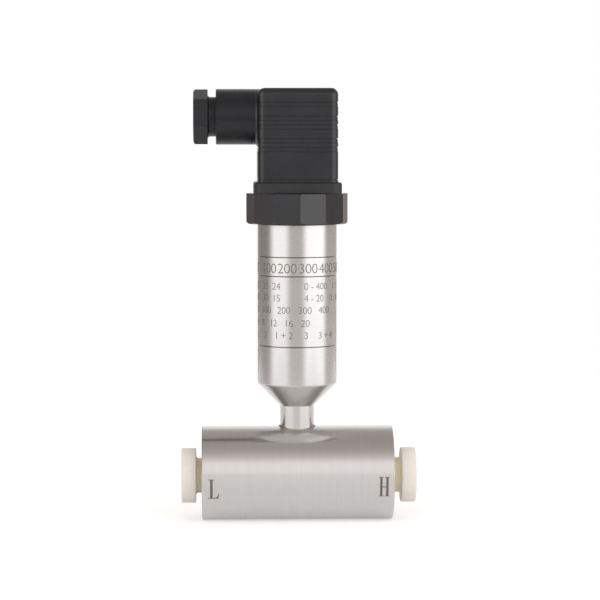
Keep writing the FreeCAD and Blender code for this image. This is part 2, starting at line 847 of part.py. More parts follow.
def terminal_screw():
    """Slotted screw in the clamp on the +X side."""
    head_top = clamp_top_z + terminal_head_height
    head = terminal_head_diameter / 2
    solid = turned([
        (0, terminal_tip_z),
        (terminal_screw_diameter / 2, terminal_tip_z),
        (terminal_screw_diameter / 2, clamp_top_z),
        (head, clamp_top_z),
        (head, head_top - terminal_head_chamfer),
        (head - terminal_head_chamfer, head_top),
        (0, head_top),
    ], Vec(clamp_x, 0, 0))
    slot = block(slot_width, 2 * head + overshoot, head_top - slot_depth, head_top + overshoot, x=clamp_x)
    return solid.cut(slot)


def make_terminal_screws():
    """One screw in each clamp."""
    return Part.makeCompound(around_axis(terminal_screw(), 4))


def make_socket_contacts():
    """Four socket contacts, each a folded clip that takes a blade, with a clamp block for a wire."""
    gap = blade_slot(socket_foot_z - overshoot, socket_top_z - socket_wall, socket_clearance)
    thread = rod(terminal_screw_diameter, Vec(clamp_x, 0, terminal_tip_z), Vec(clamp_x, 0, clamp_top_z))
    contact = socket_outline(0.0, clamp_top_z).cut([gap, thread])
    return Part.makeCompound(around_axis(contact, 4))


def make_contact_holder():
    """Square insert with a pocket for each contact, a mouth for each blade and a hole for the screw."""
    solid = rounded_block(holder_side, gasket_top_z, holder_top_z, holder_corner_radius)
    pocket = socket_outline(pocket_clearance, holder_top_z + overshoot)
    mouth = blade_slot(gasket_top_z - overshoot, socket_foot_z + overshoot, socket_clearance)
    screw_hole = rod(free_hole_diameter, Vec(0, 0, gasket_top_z), Vec(0, 0, holder_top_z))
    return solid.cut(around_axis(pocket, 4) + around_axis(mouth, 4) + [screw_hole])


def make_centre_screw():
    """Slotted screw from the housing's recess down into the threaded insert."""
    head_foot = recess_floor_z + centre_seal_thickness
    head_top = head_foot + centre_head_height
    tip = pad_z - centre_screw_reach
    chamfer = centre_screw_chamfer
    solid = turned([
        (0, tip),
        (screw_diameter / 2 - chamfer, tip),
        (screw_diameter / 2, tip + chamfer),
        (screw_diameter / 2, head_foot),
        (centre_head_diameter / 2, head_foot),
        (centre_head_diameter / 2, head_top - chamfer),
        (centre_head_diameter / 2 - chamfer, head_top),
        (0, head_top),
    ])
    slot = block(centre_slot_width, centre_head_diameter + overshoot, head_top - centre_slot_depth,
                 head_top + overshoot)
    return solid.cut(slot)


def make_screw_seal():
    """Rubber ring under the centre screw's head."""
    return ring(centre_seal_diameter, screw_diameter + 2 * screw_clearance,
                Vec(0, 0, recess_floor_z), Vec(0, 0, recess_floor_z + centre_seal_thickness))


def make_gland_screw():
    """Compression screw: chamfered hexagon, undercut neck and thread, bored through for a cable."""
    corner = hex_corner_diameter / 2
    outline = []
    for i in range(6):
        angle = math.radians(hex_turn + 60 * i)
        outline.append(Vec(-hex_inner_x, -corner * math.sin(angle), gland_z + corner * math.cos(angle)))
    head = prism(outline, Vec(-hex_thickness, 0, 0))
    envelope = turned([
        (0, hex_inner_x),
        (corner, hex_inner_x),
        (corner, hex_outer_x - hex_chamfer / 2),
        (corner - hex_chamfer, hex_outer_x),
        (0, hex_outer_x),
    ], gland_point(0), Vec(-1, 0, 0))
    head = head.common(envelope)
    thread = gland_bore_diameter / 2 - gland_thread_clearance
    neck = gland_neck_diameter / 2
    fillet = gland_neck_fillet
    start = Vec(neck, 0, hex_inner_x - fillet)
    middle = Vec(neck + fillet * (1 - math.sqrt(0.5)), 0, hex_inner_x - fillet * (1 - math.sqrt(0.5)))
    end = Vec(neck + fillet, 0, hex_inner_x)
    corners = [
        end,
        Vec(0, 0, hex_inner_x),
        Vec(0, 0, screw_end_x),
        Vec(thread - gland_thread_chamfer, 0, screw_end_x),
        Vec(thread, 0, screw_end_x + gland_thread_chamfer),
        Vec(thread, 0, neck_end_x - (thread - neck)),
        Vec(neck, 0, neck_end_x),
        start,
    ]
    lines = [Part.makeLine(a, b) for a, b in zip(corners, corners[1:])]
    wire = Part.Wire(lines + [Part.Arc(start, middle, end).toShape()])
    shank = turned_face(Part.Face(wire), gland_point(0), Vec(-1, 0, 0))
    hole = gland_hole_diameter / 2
    bore = turned([
        (0, screw_end_x - overshoot),
        (hole, screw_end_x - overshoot),
        (hole, hex_outer_x - gland_hole_chamfer),
        (hole + gland_hole_chamfer, hex_outer_x),
        (hole + gland_hole_chamfer, hex_outer_x + overshoot),
        (0, hex_outer_x + overshoot),
    ], gland_point(0), Vec(-1, 0, 0))
    return head.fuse(shank).cut(bore)


def make_gland_washer():
    """Flat ring between the screw and the grommet."""
    return ring(gland_bore_diameter - 2 * grommet_clearance, gland_hole_diameter,
                gland_point(washer_end_x), gland_point(screw_end_x))


def make_gland_grommet():
    """Rubber sleeve at the bottom of the gland's bore."""
    outer = gland_bore_diameter / 2 - grommet_clearance
    inner = grommet_hole_diameter / 2
    end = gland_floor_x + grommet_length
    return turned([
        (inner, gland_floor_x),
        (outer, gland_floor_x),
        (outer, end - grommet_chamfer),
        (outer - grommet_chamfer, end),
        (inner + grommet_chamfer, end),
        (inner, end - grommet_chamfer),
    ], gland_point(0), Vec(-1, 0, 0))


nodes = {
    "pressure_body": make_pressure_body,
    "high_port_insert": make_high_port_insert,
    "neck_weld": make_neck_weld,
    "barrel_housing": make_barrel_housing,
    "port_plug_low": lambda: make_port_plug(-1),
    "port_plug_high": lambda: make_port_plug(1),
    "sensor_cell": make_sensor_cell,
    "isolating_diaphragms": make_isolating_diaphragms,
    "sensor_seals": make_sensor_seals,
    "sensing_chip": make_sensing_chip,
    "sensor_header": make_sensor_header,
    "header_pins": make_header_pins,
    "sensor_leads": make_sensor_leads,
    "board_guide": make_board_guide,
    "circuit_board": make_circuit_board,
    "processor_chip": make_processor_chip,
    "driver_chip": make_driver_chip,
    "surge_suppressor": make_surge_suppressor,
    "board_capacitors": make_board_capacitors,
    "connector_base": make_connector_base,
    "base_seal": make_base_seal,
    "contact_blades": make_contact_blades,
    "earth_blade": make_earth_blade,
    "threaded_insert": make_threaded_insert,
    "profile_gasket": make_profile_gasket,
    "connector_housing": make_connector_housing,
    "contact_holder": make_contact_holder,
    "socket_contacts": make_socket_contacts,
    "terminal_screws": make_terminal_screws,
    "centre_screw": make_centre_screw,
    "screw_seal": make_screw_seal,
    "gland_screw": make_gland_screw,
    "gland_washer": make_gland_washer,
    "gland_grommet": make_gland_grommet,
}

os.makedirs("parts", exist_ok=True)
for name, make in nodes.items():
    shape = make()
    shape.exportStep(f"parts/{name}.step")
    print(f"{name}: {len(shape.Solids)} solids, {shape.Volume:.1f} mm3, valid {shape.isValid()}")
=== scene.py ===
import math

import bmesh
import bpy
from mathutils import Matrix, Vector


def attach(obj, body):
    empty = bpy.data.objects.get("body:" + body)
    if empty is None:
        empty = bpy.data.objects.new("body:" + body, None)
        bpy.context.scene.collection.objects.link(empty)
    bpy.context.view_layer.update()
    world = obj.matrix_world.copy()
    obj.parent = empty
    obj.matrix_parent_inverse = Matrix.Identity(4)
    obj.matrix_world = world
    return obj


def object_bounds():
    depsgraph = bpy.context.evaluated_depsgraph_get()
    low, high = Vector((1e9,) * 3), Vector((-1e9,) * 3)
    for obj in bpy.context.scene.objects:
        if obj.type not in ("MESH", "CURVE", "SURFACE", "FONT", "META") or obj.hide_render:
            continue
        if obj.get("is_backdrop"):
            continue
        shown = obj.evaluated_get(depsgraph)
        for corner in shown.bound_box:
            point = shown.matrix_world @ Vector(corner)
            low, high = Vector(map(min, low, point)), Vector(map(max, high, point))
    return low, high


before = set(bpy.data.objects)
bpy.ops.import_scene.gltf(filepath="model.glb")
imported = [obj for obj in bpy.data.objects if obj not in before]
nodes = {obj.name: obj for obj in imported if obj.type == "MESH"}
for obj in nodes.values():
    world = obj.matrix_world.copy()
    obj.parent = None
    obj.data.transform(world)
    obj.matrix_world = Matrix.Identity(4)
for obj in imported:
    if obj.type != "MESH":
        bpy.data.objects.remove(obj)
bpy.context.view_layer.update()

# Named lengths are in millimetres here and below, and MM brings them to metres
MM = 0.001

# Sizes and places of the CAD parts that the finishes and marks follow
BODY_RADIUS = 16.0
BODY_AXIS_Z = 16.0
PORT_AXIS_Z = 15.05
BARREL_RADIUS = 13.5
RING_DEPTH = 0.16
RINGS_FROM = (50.0, 51.0)           # heights above which the barrel has rings
CONE_TO_BARREL = (43.0, 48.0)       # heights between which the cone's finish passes into the barrel's
PLUG_NECK_EDGE = (5.9, 7.2)         # radii between which a plug's neck passes into its head
PLUG_HEAD_X = (34.4, 36.0)          # distances from the middle beyond which a plug is all head
HOUSING_HALF = 13.45
HOUSING_Z = (115.8, 144.0)          # heights between which the housing has grooves
GLAND_SIDE_X = (-14.6, -14.0)       # between the gland barrel and the housing's side
GLAND_FOOT_Z = (129.0, 136.0)       # from the gland barrel's foot to its middle
GROOVE_MIDDLES = (141.44, 136.76, 133.90, 129.31, 126.35)   # heights of the rib grooves
GROOVE_WIDTH = 1.6


# Camera at the photograph's place and angle

IMAGE_SIZE = 600
SENSOR_WIDTH = 36.0
FOCAL_PIXELS = 2289.0
CAMERA_PLACE = (-24.80, -778.08, 128.47)
CAMERA_DIRECTION = (0.0331, 0.9971, -0.0684)

camera_data = bpy.data.cameras.new("camera")
camera_data.sensor_width = SENSOR_WIDTH
camera_data.lens = FOCAL_PIXELS / IMAGE_SIZE * SENSOR_WIDTH
camera_data.clip_start = 0.01
camera_data.clip_end = 50.0
camera = bpy.data.objects.new("camera", camera_data)
camera.location = Vector(CAMERA_PLACE) * MM
camera.rotation_mode = "QUATERNION"
camera.rotation_quaternion = Vector(CAMERA_DIRECTION).to_track_quat("-Z", "Y")
bpy.context.scene.collection.objects.link(camera)
bpy.context.scene.camera = camera
bpy.context.scene.view_settings.view_transform = "Standard"


# Shader nodes

NOISE_RANGE = (0.3, 0.7)            # between which nearly all of a Noise Texture's values lie
BEVEL_SAMPLES = 4
LIGHT_RELIEF = 0.5                  # strengths of the Bump nodes
FULL_RELIEF = 0.6


def add(tree, kind, inputs=None, **settings):
    """Adds a node; each input is a constant or another node's output."""
    node = tree.nodes.new(kind)
    for name, value in settings.items():
        setattr(node, name, value)
    for key, value in (inputs or {}).items():
        socket = node.inputs[key]
        if isinstance(value, bpy.types.NodeSocket):
            tree.links.new(value, socket)
        else:
            socket.default_value = value
    return node


def maths(tree, operation, *values):
    """One Math node's result."""
    node = add(tree, "ShaderNodeMath", dict(enumerate(values)), operation=operation)
    return node.outputs[0]


def step_up(tree, value, low, high):
    """Smooth step from 0 at low to 1 at high."""
    node = add(tree, "ShaderNodeMapRange", {"Value": value, "From Min": low, "From Max": high},
               interpolation_type="SMOOTHSTEP")
    return node.outputs["Result"]


def inside(tree, value, low, high, soft):
    """1 between low and high, falling smoothly to 0 over soft on either side."""
    rise = step_up(tree, value, low - soft, low + soft)
    fall = step_up(tree, value, high - soft, high + soft)
    return maths(tree, "MULTIPLY", rise, inverse(tree, fall))


def mix_colour(tree, share, first, second):
    """Colour between two, each a constant or another node's output."""
    node = add(tree, "ShaderNodeMix", data_type="RGBA")
    for socket, value in ((node.inputs[0], share), (node.inputs[6], first), (node.inputs[7], second)):
        if isinstance(value, bpy.types.NodeSocket):
            tree.links.new(value, socket)
        else:
            socket.default_value = value if isinstance(value, float) else (*value, 1.0)
    return node.outputs[2]


def noise(tree, vector, scale, detail=2.0, stretch=(1.0, 1.0, 1.0)):
    """Noise of a scale in cycles per metre, over coordinates stretched by a factor for each axis."""
    mapping = add(tree, "ShaderNodeMapping", {"Vector": vector, "Scale": stretch})
    inputs = {"Vector": mapping.outputs[0], "Scale": scale, "Detail": detail}
    return add(tree, "ShaderNodeTexNoise", inputs).outputs["Fac"]


def spread(tree, value, low, high):
    """A value brought from noise's usual range to the range from low to high, and kept in it."""
    node = add(tree, "ShaderNodeMapRange", {"Value": value, "To Min": low, "To Max": high,
                                            "From Min": NOISE_RANGE[0], "From Max": NOISE_RANGE[1]})
    return node.outputs["Result"]


def distance(tree, a, b):
    """Distance from an axis, from the coordinates across it."""
    squares = maths(tree, "ADD", maths(tree, "MULTIPLY", a, a), maths(tree, "MULTIPLY", b, b))
    return maths(tree, "POWER", squares, 0.5)


def inverse(tree, value):
    """1 minus a value."""
    return maths(tree, "SUBTRACT", 1.0, value)


def passing(tree, value, ends):
    """Smooth step from 0 to 1 between two places given in millimetres."""
    return step_up(tree, value, ends[0] * MM, ends[1] * MM)


class Finish:
    """A material around one Principled shader, in the object's own coordinates."""

    def __init__(self, name, **constants):
        self.material = bpy.data.materials.new(name)
        self.material.use_nodes = True
        self.tree = self.material.node_tree
        self.tree.nodes.clear()
        self.shader = add(self.tree, "ShaderNodeBsdfPrincipled", constants)
        output = add(self.tree, "ShaderNodeOutputMaterial")
        self.tree.links.new(self.shader.outputs[0], output.inputs["Surface"])
        self.place = add(self.tree, "ShaderNodeTexCoord").outputs["Object"]

    def drive(self, socket, source):
        """Links a node's output to one of the shader's inputs."""
        self.tree.links.new(source, self.shader.inputs[socket])

    def axes(self):
        """The three coordinates, in metres."""
        split = add(self.tree, "ShaderNodeSeparateXYZ", {"Vector": self.place})
        return split.outputs[0], split.outputs[1], split.outputs[2]

    def noise(self, scale, detail=2.0, stretch=(1.0, 1.0, 1.0)):
        """Noise over the object's coordinates."""
        return noise(self.tree, self.place, scale, detail, stretch)

    def bump(self, height, depth, strength=LIGHT_RELIEF, edge_radius=0.0):
        """Relief of a depth in millimetres, over edges softened by a radius in millimetres."""
        inputs = {"Height": height, "Distance": depth * MM, "Strength": strength}
        if edge_radius > 0:
            edge = add(self.tree, "ShaderNodeBevel", {"Radius": edge_radius * MM}, samples=BEVEL_SAMPLES)
            inputs["Normal"] = edge.outputs[0]
        relief = add(self.tree, "ShaderNodeBump", inputs)
        self.drive("Normal", relief.outputs[0])

    def paint(self, *names):
        """Gives the material to CAD nodes."""
        for name in names:
            mesh = nodes[name].data
            mesh.materials.clear()
            mesh.materials.append(self.material)


# Metals

METAL_INDEX = 2.5
LINE_SCALES = (30.0, 9000.0)        # cycles per metre along and across the turning lines
BAND_SCALES = (90.0, 1100.0)        # and of the faint bands that the lines lie in
LINE_DULLING = 0.06
LINE_ROUGHNESS = 0.03
LINE_DEPTH = 0.004
QUARTER_TURN = 0.25                 # turns the spread of the reflections from round the axis to along it
BURNISH_ROUGHNESS = 0.09
# Painted shade: a dark colour deep in each ring groove of the barrel, where shade falls
RING_PAINTED_SHADE = (0.07, 0.05, 0.045)
RING_SHADED_FROM = 0.8              # share of a ring's depth at which its painted shade begins
RING_SHADED_DEPTH = 0.3             # how far the painted shade reaches in from there
RING_SHADE_SOFT = 0.03
CONE_ROUGHNESS = 0.6                # share of the barrel's roughness left on the neck and cone


def along_axis(axis, scales):
    """Noise scales for the three axes, the second one along the axis."""
    return tuple(scales[1] if letter == axis else scales[0] for letter in "XYZ")


def turned_steel(name, axis, tone, roughness, grain, lined=1.0, gleam=1.8, ringed=False):
    """Fine turned stainless steel: lines run round the axis and reflections spread along it.

    A clear share of the reflections stays sharp, as on burnished metal; gleam sets how much."""
    finish = Finish(name, **{"Metallic": 1.0, "Anisotropic": grain, "Anisotropic Rotation": QUARTER_TURN,
                             "IOR": METAL_INDEX, "Coat Weight": 1.0, "Coat Roughness": BURNISH_ROUGHNESS,
                             "Coat IOR": gleam})
    tree = finish.tree
    lines = finish.noise(1.0, 3.0, along_axis(axis, LINE_SCALES))
    bands = finish.noise(1.0, 2.0, along_axis(axis, BAND_SCALES))
    dull = tuple(c * (1.0 - LINE_DULLING * lined) for c in tone)
    shade = mix_colour(tree, spread(tree, bands, 0.0, 1.0), dull, tone)
    rough = spread(tree, lines, roughness - LINE_ROUGHNESS * lined, roughness + LINE_ROUGHNESS * lined)
    if ringed:
        # Painted shade deep in the ring grooves, above the cone
        x, y, z = finish.axes()
        high = (BARREL_RADIUS - RING_DEPTH * RING_SHADED_FROM) * MM
        low = high - RING_SHADED_DEPTH * MM
        ring_shade_mask = inside(tree, distance(tree, x, y), low, high, RING_SHADE_SOFT * MM)
        ring_shade_mask = maths(tree, "MULTIPLY", ring_shade_mask, passing(tree, z, RINGS_FROM))
        shade = mix_colour(tree, ring_shade_mask, shade, RING_PAINTED_SHADE)
        polish = spread(tree, passing(tree, z, CONE_TO_BARREL), CONE_ROUGHNESS, 1.0)
        rough = maths(tree, "MULTIPLY", rough, polish)
    finish.drive("Base Color", shade)
    finish.drive("Roughness", rough)
    tangent = add(tree, "ShaderNodeTangent", direction_type="RADIAL", axis=axis)
    finish.drive("Tangent", tangent.outputs[0])
    finish.bump(lines, LINE_DEPTH * lined)
    return finish


STEEL = (0.625, 0.622, 0.617)
GROUND_STEEL = (0.66, 0.66, 0.65)
body_steel = turned_steel("turned_body", "X", STEEL, 0.38, 0.93, 0.6, gleam=2.7)
body_steel.paint("pressure_body", "high_port_insert")
barrel_steel = turned_steel("turned_barrel", "Z", STEEL, 0.27, 0.8, 0.22, ringed=True)
barrel_steel.paint("barrel_housing")
cell_steel = turned_steel("ground_cell", "X", GROUND_STEEL, 0.2, 0.5)
cell_steel.paint("sensor_cell", "isolating_diaphragms")

PLAIN_METALS = [
    # name, colour, roughness, cycles of the skin per metre, its depth in millimetres, nodes
    ("weld_skin", (0.50, 0.46, 0.42), 0.33, 900.0, 0.03, ["neck_weld"]),
    ("tinned", (0.70, 0.70, 0.68), 0.28, 900.0, 0.0016, ["contact_blades", "earth_blade", "socket_contacts"]),
    ("turned_brass", (0.80, 0.60, 0.28), 0.22, 1200.0, 0.0012, ["threaded_insert"]),
    ("gilt", (0.83, 0.63, 0.28), 0.2, 2500.0, 0.0008, ["header_pins"]),
    ("zinc_plate", (0.68, 0.69, 0.70), 0.24, 1400.0, 0.0014,
     ["terminal_screws", "centre_screw", "gland_washer"]),
    ("polished_silicon", (0.25, 0.26, 0.30), 0.1, 900.0, 0.0006, ["sensing_chip"]),
]
SKIN_DULLING = 0.88
SKIN_ROUGHNESS = (-0.06, 0.08)      # by which the skin's roughness varies
METAL_EDGE_RADIUS = 0.08


def plain_metal(name, tone, roughness, scale, depth, painted):
    """Metal with a slight uneven skin."""
    finish = Finish(name, **{"Metallic": 1.0, "IOR": METAL_INDEX})
    skin = finish.noise(scale, 3.0)
    dull = tuple(c * SKIN_DULLING for c in tone)
    finish.drive("Base Color", mix_colour(finish.tree, spread(finish.tree, skin, 0.0, 1.0), dull, tone))
    smoother, rougher = SKIN_ROUGHNESS
    finish.drive("Roughness", spread(finish.tree, skin, roughness + smoother, roughness + rougher))
    finish.bump(skin, depth, edge_radius=METAL_EDGE_RADIUS)
    finish.paint(*painted)


for metal in PLAIN_METALS:
    plain_metal(*metal)


# Plastics and rubbers

MOULDINGS = [
    # name, colour, roughness, grain size, grain depth, edge radius, index, nodes; sizes in millimetres
    ("housing_nylon", (0.0076, 0.0090, 0.0138), 0.31, 0.22, 0.012, 0.08, 1.58, ["connector_housing"]),
    ("guide_nylon", (0.0105, 0.0118, 0.0150), 0.35, 0.22, 0.012, 0.1, 1.5, ["board_guide"]),
    ("collar_nylon", (0.0036, 0.0046, 0.0090), 0.22, 0.25, 0.005, 0.15, 1.65, ["connector_base"]),
    ("gland_nylon", (0.0120, 0.0132, 0.0175), 0.36, 0.22, 0.010, 0.15, 1.41, ["gland_screw"]),
    ("holder_nylon", (0.060, 0.060, 0.064), 0.45, 0.25, 0.010, 0.15, 1.5, ["contact_holder"]),
    ("gasket_rubber", (0.0160, 0.0170, 0.0205), 0.46, 0.30, 0.012, 0.3, 1.5, ["profile_gasket"]),
    ("seal_rubber", (0.016, 0.016, 0.017), 0.42, 0.30, 0.008, 0.1, 1.5,
     ["base_seal", "sensor_seals", "screw_seal", "gland_grommet"]),
    ("chip_resin", (0.022, 0.022, 0.024), 0.5, 0.12, 0.008, 0.05, 1.5,
     ["processor_chip", "driver_chip", "surge_suppressor"]),
    ("lead_insulation", (0.66, 0.66, 0.62), 0.4, 0.4, 0.004, 0.05, 1.5, ["sensor_leads"]),
    ("capacitor_ceramic", (0.52, 0.38, 0.24), 0.45, 0.15, 0.004, 0.08, 1.5, ["board_capacitors"]),
]
CLOUD_SCALE = 140.0                 # cycles per metre
CLOUD_SHADES = (0.9, 1.12)          # shares of the colour between which the cloudiness varies
CLOUD_ROUGHNESS = 0.03
GRAIN_ROUGHNESS = 0.04
# Painted shade: the floors of the housing's grooves are coloured near black, where shade falls
GROOVE_PAINTED_SHADE = (0.002, 0.002, 0.002)
GROOVE_FLOOR = (0.28, 0.14)         # depths between which a groove's floor passes into its side
GROOVE_END_SOFT = 0.2
# Painted shade: the reflection is dimmed in a thin band at the lower edge of each rib groove
GROOVE_EDGE_HALF = 0.14
GROOVE_EDGE_SOFT = 0.08
WALL_SPECULAR = 0.5
GROOVE_EDGE_SPECULAR = 0.33
GLAND_SPECULAR = (0.2, 0.33)        # at the gland barrel's foot and from its middle up


def painted_groove_shade(finish):
    """Painted shade in the lines round the connector's housing: 1 deep in them, 0 on its sides."""
    tree = finish.tree
    x, y, z = finish.axes()
    side = maths(tree, "MAXIMUM", maths(tree, "ABSOLUTE", x), maths(tree, "ABSOLUTE", y))
    outside = passing(tree, side, [HOUSING_HALF - depth for depth in GROOVE_FLOOR])
    foot, top = HOUSING_Z
    return maths(tree, "MULTIPLY", inverse(tree, outside),
                 inside(tree, z, foot * MM, top * MM, GROOVE_END_SOFT * MM))


def housing_shine(finish):
    """Specular level of the housing: low on its gland barrel, and dimmed as painted shade in the edge under
    each rib groove.
    """
    tree = finish.tree
    x, y, z = finish.axes()
    edges = 0.0
    # Painted shade lines at the lower edges of the rib grooves
    for middle in GROOVE_MIDDLES:
        edge = middle - GROOVE_WIDTH / 2
        low = (edge - GROOVE_EDGE_HALF) * MM
        high = (edge + GROOVE_EDGE_HALF) * MM
        edges = maths(tree, "ADD", edges, inside(tree, z, low, high, GROOVE_EDGE_SOFT * MM))
    body = passing(tree, x, GLAND_SIDE_X)
    barrel = spread(tree, passing(tree, z, GLAND_FOOT_Z), *GLAND_SPECULAR)
    walls = maths(tree, "MULTIPLY", body, spread(tree, edges, WALL_SPECULAR, GROOVE_EDGE_SPECULAR))
    return maths(tree, "ADD", walls, maths(tree, "MULTIPLY", inverse(tree, body), barrel))


def moulded(name, tone, roughness, grain_size, grain_depth, edge_radius, index, painted):
    """Moulded surface with a fine grain, faint cloudiness and softened edges."""
    finish = Finish(name, **{"IOR": index})
    tree = finish.tree
    grain = finish.noise(1.0 / (grain_size * MM), 2.0)
    cloud = finish.noise(CLOUD_SCALE, 2.0)
    dark, light = (tuple(min(1.0, c * share) for c in tone) for share in CLOUD_SHADES)
    shade = mix_colour(tree, spread(tree, cloud, 0.0, 1.0), dark, light)
    # On the housing: painted shade on its groove floors, and its shine
    if "connector_housing" in painted:
        shade = mix_colour(tree, painted_groove_shade(finish), shade, GROOVE_PAINTED_SHADE)
        finish.drive("Specular IOR Level", housing_shine(finish))
    finish.drive("Base Color", shade)
    fine = spread(tree, grain, roughness - GRAIN_ROUGHNESS, roughness + GRAIN_ROUGHNESS)
    broad = spread(tree, cloud, -CLOUD_ROUGHNESS, CLOUD_ROUGHNESS)
    finish.drive("Roughness", maths(tree, "ADD", fine, broad))
    finish.bump(grain, grain_depth, FULL_RELIEF, edge_radius)
    finish.paint(*painted)


for moulding in MOULDINGS:
    moulded(*moulding)

CREAM_SHADES = ((0.86, 0.83, 0.775), (0.91, 0.88, 0.83))
CREAM_ROUGHNESS = (0.38, 0.48)
CREAM_CLOUD_SCALE = 220.0           # cycles per metre
CREAM_GRAIN_SCALE = 2600.0
CREAM_GRAIN_DEPTH = 0.01
CREAM_EDGE_RADIUS = 0.2
LIGHT_REACH = 6.0
LIGHT_REACH_BY_COLOUR = (1.0, 0.75, 0.4)
# Painted light: the plugs' thin necks are coloured brighter and yellower for the light that shines through
# them
PLUG_NECK_PAINTED_LIGHT = (1.0, 0.88, 0.62)


def cream_nylon():
    """Natural nylon: cream and slightly translucent, with painted light on the plugs' thin necks, a brighter
    and yellower colour for the light shining through them.
    """
    finish = Finish("natural_nylon", **{"IOR": 1.53, "Subsurface Weight": 0.6,
                                        "Subsurface Scale": LIGHT_REACH * MM,
                                        "Subsurface Radius": LIGHT_REACH_BY_COLOUR})
    tree = finish.tree
    cloud = finish.noise(CREAM_CLOUD_SCALE, 3.0)
    grain = finish.noise(CREAM_GRAIN_SCALE, 2.0)
    x, y, z = finish.axes()
    radius = distance(tree, y, maths(tree, "SUBTRACT", z, PORT_AXIS_Z * MM))
    head = maths(tree, "MAXIMUM", passing(tree, radius, PLUG_NECK_EDGE),
                 passing(tree, maths(tree, "ABSOLUTE", x), PLUG_HEAD_X))
    skin = mix_colour(tree, spread(tree, cloud, 0.0, 1.0), *CREAM_SHADES)
    # Painted light on the necks, the cream skin on the heads
    finish.drive("Base Color", mix_colour(tree, head, PLUG_NECK_PAINTED_LIGHT, skin))
    finish.drive("Roughness", spread(tree, cloud, *CREAM_ROUGHNESS))
    finish.bump(grain, CREAM_GRAIN_DEPTH, edge_radius=CREAM_EDGE_RADIUS)
    finish.paint("port_plug_low", "port_plug_high")


cream_nylon()


# Circuit board and the sensor's glass

TRACK_PITCH = 1.2
TRACK_EDGES = (0.5, 0.8)
TRACK_SOFT = 0.03
TRACK_RELIEF = 0.03
WEAVE_SCALE = 12000.0               # radians per metre
WEAVE_RELIEF = 0.1                  # share of the tracks' relief
RESIST_SHADE = (0.02, 0.15, 0.06)
RESIST_ROUGHNESS = (0.28, 0.36)
TRACK_SHADE = (0.05, 0.24, 0.10)


def board_laminate():
    """Green solder resist over a faint weave, with copper tracks showing through."""
    finish = Finish("board_laminate", **{"IOR": 1.55, "Coat Weight": 0.3, "Coat Roughness": 0.12})
    tree = finish.tree
    x, y, z = finish.axes()
    place = maths(tree, "PINGPONG", x, TRACK_PITCH * MM)
    tracks = inside(tree, place, TRACK_EDGES[0] * MM, TRACK_EDGES[1] * MM, TRACK_SOFT * MM)
    waves = [maths(tree, "SINE", maths(tree, "MULTIPLY", along, WEAVE_SCALE)) for along in (x, z)]
    weave = maths(tree, "MULTIPLY", *waves)
    finish.drive("Base Color", mix_colour(tree, tracks, RESIST_SHADE, TRACK_SHADE))
    finish.drive("Roughness", spread(tree, weave, *RESIST_ROUGHNESS))
    relief = maths(tree, "ADD", tracks, maths(tree, "MULTIPLY", weave, WEAVE_RELIEF))
    finish.bump(relief, TRACK_RELIEF, FULL_RELIEF)
    finish.paint("circuit_board")


board_laminate()

GLASS_SHADES = ((0.16, 0.30, 0.25), (0.24, 0.40, 0.34))
GLASS_ROUGHNESS = (0.05, 0.2)
BUBBLE_SCALE = 3500.0               # cycles per metre

glass = Finish("header_glass", **{"IOR": 1.5, "Transmission Weight": 0.6})
bubbles = glass.noise(BUBBLE_SCALE, 2.0)
glass.drive("Base Color", mix_colour(glass.tree, bubbles, *GLASS_SHADES))
glass.drive("Roughness", spread(glass.tree, bubbles, *GLASS_ROUGHNESS))
glass.paint("sensor_header")


# Marks: thin solids bent onto the turned surfaces

MARK_THICKNESS = 0.025
MARK_SINK = 0.015
MARK_STRIP = 0.45
CHAR_SCALE = 9000.0                 # cycles per metre
CHAR_SHADES = ((0.115, 0.095, 0.085), (0.18, 0.155, 0.14))
FINE_CHAR_SHADES = ((0.17, 0.155, 0.145), (0.26, 0.24, 0.23))


def laser_marking(name, shades, roughness, depth, **constants):
    """Charred marking with a fine uneven skin."""
    finish = Finish(name, **constants)
    char = finish.noise(CHAR_SCALE, 3.0)
    finish.drive("Base Color", mix_colour(finish.tree, char, *shades))
    finish.drive("Roughness", spread(finish.tree, char, *roughness))
    finish.bump(char, depth)
    return finish


marking = laser_marking("laser_marking", CHAR_SHADES, (0.5, 0.7), 0.01, IOR=1.4)
fine_marking = laser_marking("fine_laser_marking", FINE_CHAR_SHADES, (0.45, 0.6), 0.008,
                             IOR=1.6, Metallic=0.6)


def strip_faces(shape, axis):
    """Cuts flat faces into strips, so that they bend round a cylinder."""
    values = [vert.co[axis] for vert in shape.verts]
    low = min(values)
    normal = Vector((1, 0, 0)) if axis == 0 else Vector((0, 1, 0))
    count = int((max(values) - low) / MARK_STRIP)
    for i in range(1, count + 1):
        geometry = shape.verts[:] + shape.edges[:] + shape.faces[:]
        place = normal * (low + i * MARK_STRIP)
        bmesh.ops.bisect_plane(shape, geom=geometry, plane_co=place, plane_no=normal)


def bent_mark(name, shape, bend, axis, finish):
    """Makes flat faces a thin closed solid, bends it with a function of (u, v, height) and lets it ride."""
    strip_faces(shape, axis)
    bmesh.ops.recalc_face_normals(shape, faces=shape.faces[:])
    bottom = shape.faces[:]
    made = bmesh.ops.extrude_face_region(shape, geom=bottom)["geom"]
    top = {item for item in made if isinstance(item, bmesh.types.BMVert)}
    for vert in shape.verts:
        height = MARK_THICKNESS if vert in top else -MARK_SINK
        vert.co = bend(vert.co.x, vert.co.y, height)
    bmesh.ops.recalc_face_normals(shape, faces=shape.faces[:])
    mesh = bpy.data.meshes.new(name)
    shape.to_mesh(mesh)
    shape.free()
    mesh.materials.append(finish.material)
    piece = bpy.data.objects.new(name, mesh)
    bpy.context.scene.collection.objects.link(piece)
    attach(piece, "transmitter")


